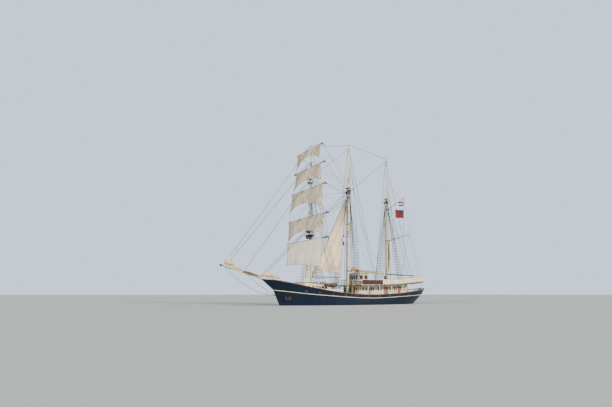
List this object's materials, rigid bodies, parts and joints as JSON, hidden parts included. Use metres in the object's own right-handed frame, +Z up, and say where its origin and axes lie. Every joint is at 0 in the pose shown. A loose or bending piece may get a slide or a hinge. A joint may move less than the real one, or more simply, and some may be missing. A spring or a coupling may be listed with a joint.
{
  "type": "half-size scale model of a three-masted sailing ship",
  "caption": "Half-size model of a three-masted barquentine afloat, with square sails set on the fore mast, a boomed staysail, deckhouses and a wheelhouse",
  "frame": {"origin": "amidships on the waterline, in the middle plane", "axes": "+X towards the bow, +Y to port, +Z up"},
  "size_m": [22.9971, 7.5, 18.337],
  "materials": {
    "hull_paint": "satin",
    "bottom_paint": "matte",
    "cream_paint": "painted, satin",
    "white_paint": "painted, satin",
    "teak": "oiled",
    "dark_wood": "painted, satin",
    "spar": "varnished",
    "wire": "tarred",
    "canvas": "matte",
    "tan_cover": "matte",
    "red_cloth": "matte",
    "bronze": "satin",
    "iron": "painted"
  },
  "bodies": {
    "ship_root": {"hull": "hull_paint", "bulwark": "hull_paint", "rail_cap": "dark_wood", "moulding": "cream_paint", "bowsprit": "spar", "bobstays": "wire", "windlass": "iron", "anchor_port": "iron", "anchor_starboard": "iron", "fore_deckhouse": "cream_paint", "midship_trunk": "white_paint", "tender": "dark_wood", "lower_deckhouse": "cream_paint", "upper_deck": "white_paint", "upper_guard_rail": "white_paint", "boom_crutch": "spar", "helm_pedestal": "teak", "weather_cloth_port": "red_cloth", "weather_cloth_starboard": "red_cloth", "wheelhouse": "white_paint", "fore_mast": "spar", "main_mast": "spar", "mizzen_mast": "spar", "mizzen_sail_brailed": "tan_cover", "fore_stay": "wire", "fore_topmast_stay": "wire", "jib_stay": "wire", "royal_stay": "wire", "main_topmast_stay": "wire", "fore_main_springstay": "wire", "main_mizzen_springstay": "wire", "mizzen_stay": "wire", "main_stay": "wire", "furled_jib": "canvas", "furled_staysail": "canvas"},
    "course_yard_body": {"course_yard": "dark_wood", "course_sail": "canvas"},
    "lower_topsail_yard_body": {"lower_topsail_yard": "dark_wood", "lower_topsail_sail": "canvas"},
    "upper_topsail_yard_body": {"upper_topsail_yard": "dark_wood", "upper_topsail_sail": "canvas"},
    "topgallant_yard_body": {"topgallant_yard": "dark_wood", "topgallant_sail": "canvas"},
    "royal_yard_body": {"royal_yard": "dark_wood", "royal_sail": "canvas"},
    "staysail_body": {"main_staysail": "canvas", "staysail_boom": "dark_wood"},
    "main_boom_body": {"main_boom": "spar", "main_sail_stowed": "tan_cover"},
    "mizzen_boom_body": {"mizzen_boom": "dark_wood"},
    "lower_gaff_body": {"lower_gaff": "spar"},
    "upper_gaff_body": {"upper_gaff": "spar", "striped_flag": "red_cloth", "red_flag": "red_cloth"},
    "rudder_body": {"rudder": "bottom_paint"},
    "helm_body": {"helm_wheel": "teak"},
    "propeller_body": {"propeller": "bronze"},
    "door_port_body": {"wheelhouse_door_port": "teak"},
    "door_starboard_body": {"wheelhouse_door_starboard": "teak"}
  },
  "joints": [
    {"name": "course_brace", "type": "hinge", "parent": "ship_root", "child": "course_yard_body", "pos_m": [5.04, 0, 0], "axis": [-0.034, 0, 0.9994], "range_deg": [-30, 30]},
    {"name": "lower_topsail_brace", "type": "hinge", "parent": "ship_root", "child": "lower_topsail_yard_body", "pos_m": [5.04, 0, 0], "axis": [-0.034, 0, 0.9994], "range_deg": [-30, 30]},
    {"name": "upper_topsail_brace", "type": "hinge", "parent": "ship_root", "child": "upper_topsail_yard_body", "pos_m": [5.04, 0, 0], "axis": [-0.034, 0, 0.9994], "range_deg": [-30, 30]},
    {"name": "topgallant_brace", "type": "hinge", "parent": "ship_root", "child": "topgallant_yard_body", "pos_m": [5.04, 0, 0], "axis": [-0.034, 0, 0.9994], "range_deg": [-30, 30]},
    {"name": "royal_brace", "type": "hinge", "parent": "ship_root", "child": "royal_yard_body", "pos_m": [5.04, 0, 0], "axis": [-0.034, 0, 0.9994], "range_deg": [-30, 30]},
    {"name": "staysail_sheet", "type": "hinge", "parent": "ship_root", "child": "staysail_body", "pos_m": [4.65, 0, 2.15], "axis": [-0.4508, 0, 0.8926], "range_deg": [-35, 35]},
    {"name": "main_boom_lift", "type": "hinge", "parent": "ship_root", "child": "main_boom_body", "pos_m": [0.15604, 0, 3.20101], "axis": [0, 1, 0], "range_deg": [0, 25]},
    {"name": "mizzen_boom_sheet", "type": "hinge", "parent": "ship_root", "child": "mizzen_boom_body", "pos_m": [-4.86767, 0, 3.01612], "axis": [-0.034, 0, 0.9994], "range_deg": [-40, 40]},
    {"name": "lower_gaff_vang", "type": "hinge", "parent": "ship_root", "child": "lower_gaff_body", "pos_m": [-4.98575, 0, 6.48911], "axis": [-0.034, 0, 0.9994], "range_deg": [-25, 25]},
    {"name": "upper_gaff_vang", "type": "hinge", "parent": "ship_root", "child": "upper_gaff_body", "pos_m": [-5.10128, 0, 9.88715], "axis": [-0.034, 0, 0.9994], "range_deg": [-25, 25]},
    {"name": "rudder_turn", "type": "hinge", "parent": "ship_root", "child": "rudder_body", "pos_m": [-7.3, 0, -1.1], "axis": [0, 0, 1], "range_deg": [-35, 35]},
    {"name": "helm_turn", "type": "hinge", "parent": "ship_root", "child": "helm_body", "pos_m": [-0.575, 0, 2.36], "axis": [1, 0, 0], "range_deg": [-540, 540]},
    {"name": "propeller_spin", "type": "hinge", "parent": "ship_root", "child": "propeller_body", "pos_m": [-6.86, 0, -1.175], "axis": [1, 0, 0], "continuous": true},
    {"name": "door_port_swing", "type": "hinge", "parent": "ship_root", "child": "door_port_body", "pos_m": [-0.975, 0.875, 2.4], "axis": [0, 0, -1], "range_deg": [0, 100]},
    {"name": "door_starboard_swing", "type": "hinge", "parent": "ship_root", "child": "door_starboard_body", "pos_m": [-0.975, -0.875, 2.4], "axis": [0, 0, 1], "range_deg": [0, 100]}
  ],
  "couplings": [
    {"joint": "lower_topsail_brace", "follows": "course_brace", "ratio": 1},
    {"joint": "upper_topsail_brace", "follows": "course_brace", "ratio": 1},
    {"joint": "topgallant_brace", "follows": "course_brace", "ratio": 1},
    {"joint": "royal_brace", "follows": "course_brace", "ratio": 1},
    {"joint": "helm_turn", "follows": "rudder_turn", "ratio": 15.4}
  ]
}
